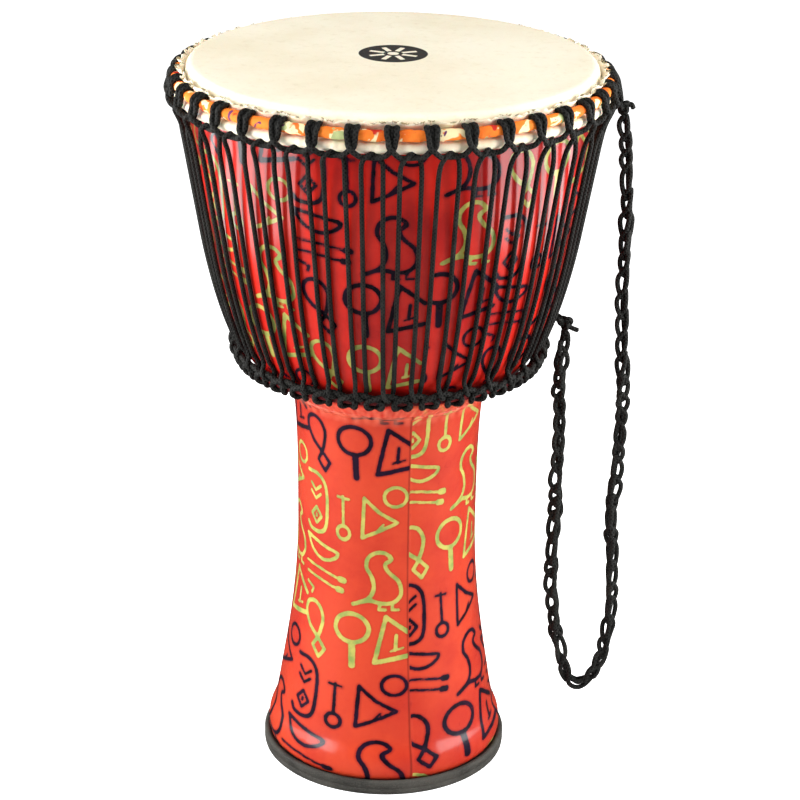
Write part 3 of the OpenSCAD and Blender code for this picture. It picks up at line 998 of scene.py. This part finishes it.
def chain_sinnet(route):
    """The tail: one strand looped through itself. Each link's bight comes up through the one before."""
    smooth = resample(spline(route, False, 10), 1.0)
    along = lengths_along(smooth)
    total = along[-1]
    tangent = np.gradient(smooth, axis=0)
    tangent /= np.linalg.norm(tangent, axis=1)[:, None]
    depth = np.array([0.0, 1.0, 0.0])
    wide = np.cross(tangent, depth)
    starts = [0.0]
    while starts[-1] < total - 16.0:
        starts.append(starts[-1] + random.uniform(12.0, 23.5))
    scale = total / starts[-1]
    starts = [s * scale for s in starts]
    points = []
    for number, start in enumerate(starts[:-1]):
        step = starts[number + 1] - start
        half = random.uniform(3.5, 5.7)
        lean = random.uniform(-1.0, 1.0)
        rows = [(-0.12, -1.4, -3.0), (0.06, -2.6, -0.4), (0.36, -half, 2.0), (0.75, -half * 0.94, 2.2),
                (1.12, -half * 0.6, 0.4), (1.34, 0.0, -1.1), (1.12, half * 0.6, 0.4),
                (0.75, half * 0.94, 2.2), (0.36, half, 2.0), (0.06, 2.6, -0.4), (-0.1, 1.0, -3.0),
                (0.3, 0.3, -4.1), (0.62, -0.6, -4.2)]
        for s, w, d in rows:
            points.append((start + s * step, w + lean, d))
    line = spline(points, False, 7)
    s = np.clip(line[:, 0], 0, total)
    centre = np.stack([np.interp(s, along, smooth[:, i]) for i in range(3)], -1)
    across = np.stack([np.interp(s, along, wide[:, i]) for i in range(3)], -1)
    twist = np.radians(46.0 * np.sin(s / 71.0) + 34.0 * np.sin(s / 29.0 + 1.0))
    w = line[:, 1] * np.cos(twist) - line[:, 2] * np.sin(twist)
    d = line[:, 1] * np.sin(twist) + line[:, 2] * np.cos(twist)
    return resample(centre + across * w[:, None] + depth * d[:, None], 1.5), smooth, total


def tail(look):
    """The hanging tail of spare rope, chained up, and the two knots that hold it."""
    route = np.array([[x, 0.0, z] for x, z in TAIL_ROUTE], float)
    path, middle, total = chain_sinnet(route)
    chain = tubes_object("tail_braid", [(path, TAIL_STRAND_R, False)], 9)
    finish_piece(chain, look, "tail", ["tail_rope"])

    top = np.array([199.6, 0.0, 620.5])
    tie = [top + [-2, 0, 3], [197, 0.5, 630], [195.5, 2.4, 638], [193.6, 2.8, 645], [189, 2.7, 652.5]]
    lead = [top + [-2, -2, 2], [193, -4.5, 625], [188, -9, 623]]
    drop = [top + [1, 0, -3], [201.2, -1.0, 613], [202.0, 0.0, 606]]
    stub = [top + [3, 1, 1], [206.5, 1.0, 622.5], [208.4, 1.0, 619.0]]
    top_knot = knot_piece("tail_top_knot", top, turned(72, "X") @ turned(20, "Y"), 5.0, 2.3, 2.2,
                          [tie, lead, drop, stub], "tension_ring", "tail_top_hitch", look)

    low = np.array([157.0, 0.0, 421.0])
    stub = [low + [3, 0, -3], [164, -0.6, 415.8], [168.6, -0.6, 414.2]]
    hang = [low + [0, 0.5, -4], [156.6, 0.0, 413], [156.4, 0.0, 404]]
    reach = [low + [-3, -2, 3], [150.6, -4.0, 425], [146.6, 0, 427], [150.0, 6.5, 425.6], low + [-2, 4, 2]]
    end_knot = knot_piece("tail_low_knot", low, turned(80, "X") @ turned(-15, "Y"), 5.4, 2.4, 2.2,
                          [stub, hang, reach], "tension_ring", "tail_end_knot", look)


# --- base rubber
def rubber_base(look):
    """The moulded ring that the drum stands on, with a bead, a groove and a ribbed sole."""
    side = [[RUBBER_R, 3.0], [RUBBER_R, 5.6], [112.5, 6.1], [112.5, 6.9], [RUBBER_R, 7.4], [RUBBER_R, 11.6]]
    top = [[112.6, 13.0], [111.4, 13.9], [109.6, RUBBER_H], [108.3, 13.2], [107.6, 11.4], [106.6, 10.2],
           [104.0, 9.4], [101.0, 7.0], [95.4, 6.8], [95.0, 6.4]]
    sole = [[95.0, 0.9], [95.6, 0.2], [96.6, 0.0]]
    for rib_end in (98.6, 103.4, 108.4):
        sole += [[rib_end, 0.0], [rib_end + 0.4, 0.7], [rib_end + 1.4, 0.7], [rib_end + 1.8, 0.0]]
    section = side + top + sole + [[111.6, 0.2], [112.6, 1.2]]

    def wobble(azimuth, index, radius, height):
        ease = smooth_noise(azimuth, height, [(3, 6, 30), (7, 12, 20)], 47)
        return azimuth, radius + 0.2 * ease * (height > 2.0), height, {}

    made = revolved("rubber_base", section, 360, wobble)
    finish_piece(made, look, "drum", ["foot_rubber"])


# --- CAD pieces that stay
def dress_cad(node, look):
    """Gives a CAD piece that stays its material."""
    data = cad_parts[node].data
    data.materials.clear()
    data.materials.append(look)


# --- stage and light
def make_stage(look):
    """The floor, a plain sheet of studio paper."""
    size = 9.0
    corners = [(-size, -size, 0), (size, -size, 0), (size, size, 0), (-size, size, 0)]
    mesh = bpy.data.meshes.new("floor")
    mesh.from_pydata(corners, [], [(0, 1, 2, 3)])
    floor = bpy.data.objects.new("floor", mesh)
    bpy.context.scene.collection.objects.link(floor)
    mesh.materials.append(look)


def softbox(name, bearing, distance, height, wide, tall, watts, aim=0.4):
    """A rectangular lamp that faces the drum. bearing 0 is the camera's side, and it grows to the right."""
    data = bpy.data.lights.new(name, "AREA")
    data.shape = "RECTANGLE"
    data.size = wide
    data.size_y = tall
    data.energy = watts
    lamp = bpy.data.objects.new(name, data)
    lamp.visible_camera = False
    bpy.context.scene.collection.objects.link(lamp)
    a = math.radians(bearing)
    place = Vector((distance * math.sin(a), -distance * math.cos(a), height))
    lamp.location = place
    lamp.rotation_euler = (Vector((0, 0, aim)) - place).to_track_quat("-Z", "Y").to_euler()


def make_light():
    """A white backdrop that lights the drum a little and is dark in its lacquer, and five soft lamps."""
    world = bpy.data.worlds.new("studio")
    world.use_nodes = True
    tree = world.node_tree
    back = tree.nodes["Background"]
    back.inputs["Color"].default_value = (1.0, 1.0, 1.0, 1.0)
    paths = tree.nodes.new("ShaderNodeLightPath")
    seen = tree.nodes.new("ShaderNodeMapRange")
    seen.inputs["To Min"].default_value = 0.22
    seen.inputs["To Max"].default_value = 1.0
    tree.links.new(paths.outputs["Is Camera Ray"], seen.inputs["Value"])
    gloss = tree.nodes.new("ShaderNodeMapRange")
    gloss.inputs["To Max"].default_value = 0.0
    tree.links.new(paths.outputs["Is Glossy Ray"], gloss.inputs["Value"])
    tree.links.new(seen.outputs["Result"], gloss.inputs["To Min"])
    tree.links.new(gloss.outputs["Result"], back.inputs["Strength"])
    bpy.context.scene.world = world
    softbox("key_left", -60.0, 1.7, 0.95, 1.15, 1.7, 20.0)
    softbox("key_right", 72.0, 1.7, 0.95, 1.35, 1.7, 17.0)
    softbox("side_left", -84.0, 0.85, 0.50, 1.2, 0.9, 14.0)
    softbox("side_right", 84.0, 0.85, 0.50, 1.2, 0.9, 14.0)
    softbox("overhead", 0.0, 0.6, 2.6, 2.6, 2.6, 36.0, aim=0.0)
    bpy.context.scene.view_settings.view_transform = "Standard"


# --- the build
make_camera()
rope = rope_look()
tail(rope)
foot_cloth(printed_cloth("printed_cloth_foot", rgb(188, 60, 34), rgb(168, 40, 26), 0.6))
bowl_cloth(printed_cloth("printed_cloth_bowl", rgb(204, 36, 22), rgb(164, 12, 10), 1.0))
goat_head(skin_look("goat_skin_head", False))
skin_edge(skin_look("goat_skin_edge", True))
skin_hairs(hair_look())
orange = wound_cloth("orange_cloth", rgb(244, 132, 44), rgb(222, 96, 24),
                     [(62.0, 0.585, rgb(240, 222, 172)), (51.0, 0.62, rgb(176, 186, 128)),
                      (57.0, 0.65, rgb(104, 50, 96)), (47.0, 0.64, rgb(192, 34, 24))])
wound_ring("crown_cloth", CROWN_AT, CROWN_WRAP_R, 17.0, "tension_ring", "crown_ring_wrap",
           orange, 3, FRONT, 0.8)
# Dark maroon ground: partly the cloth's own red, partly painted shade for the shadowed band under the bowl.
red = wound_cloth("red_cloth", rgb(112, 20, 22), rgb(54, 10, 14), [(30.0, 0.58, rgb(22, 14, 26))])
wound_ring("bottom_cloth", BOTTOM_AT, BOTTOM_WRAP_R, 15.0, "drum", "bottom_ring_wrap", red, 4,
           FRONT + PITCH / 2, 0.4)
hitch_rope("top_hitches", top_unit(), top_middle(), FRONT, "tension_ring", "top_hitch_rope", rope, 0.35,
           ROPE_R + 0.25)
hitch_rope("bottom_hitches", bottom_unit(), (), FRONT + PITCH / 2, "drum", "bottom_hitch_rope", rope, 0.3,
           ROPE_R + 0.5)
vertical_runs(rope)
rope_knots(rope)
rubber_base(rubber_look())
dress_cad("shell", plastic_look())
steel = steel_look()
for ring in ("crown_ring", "flesh_hoop", "bottom_ring"):
    dress_cad(ring, steel)
make_stage(floor_look())
make_light()
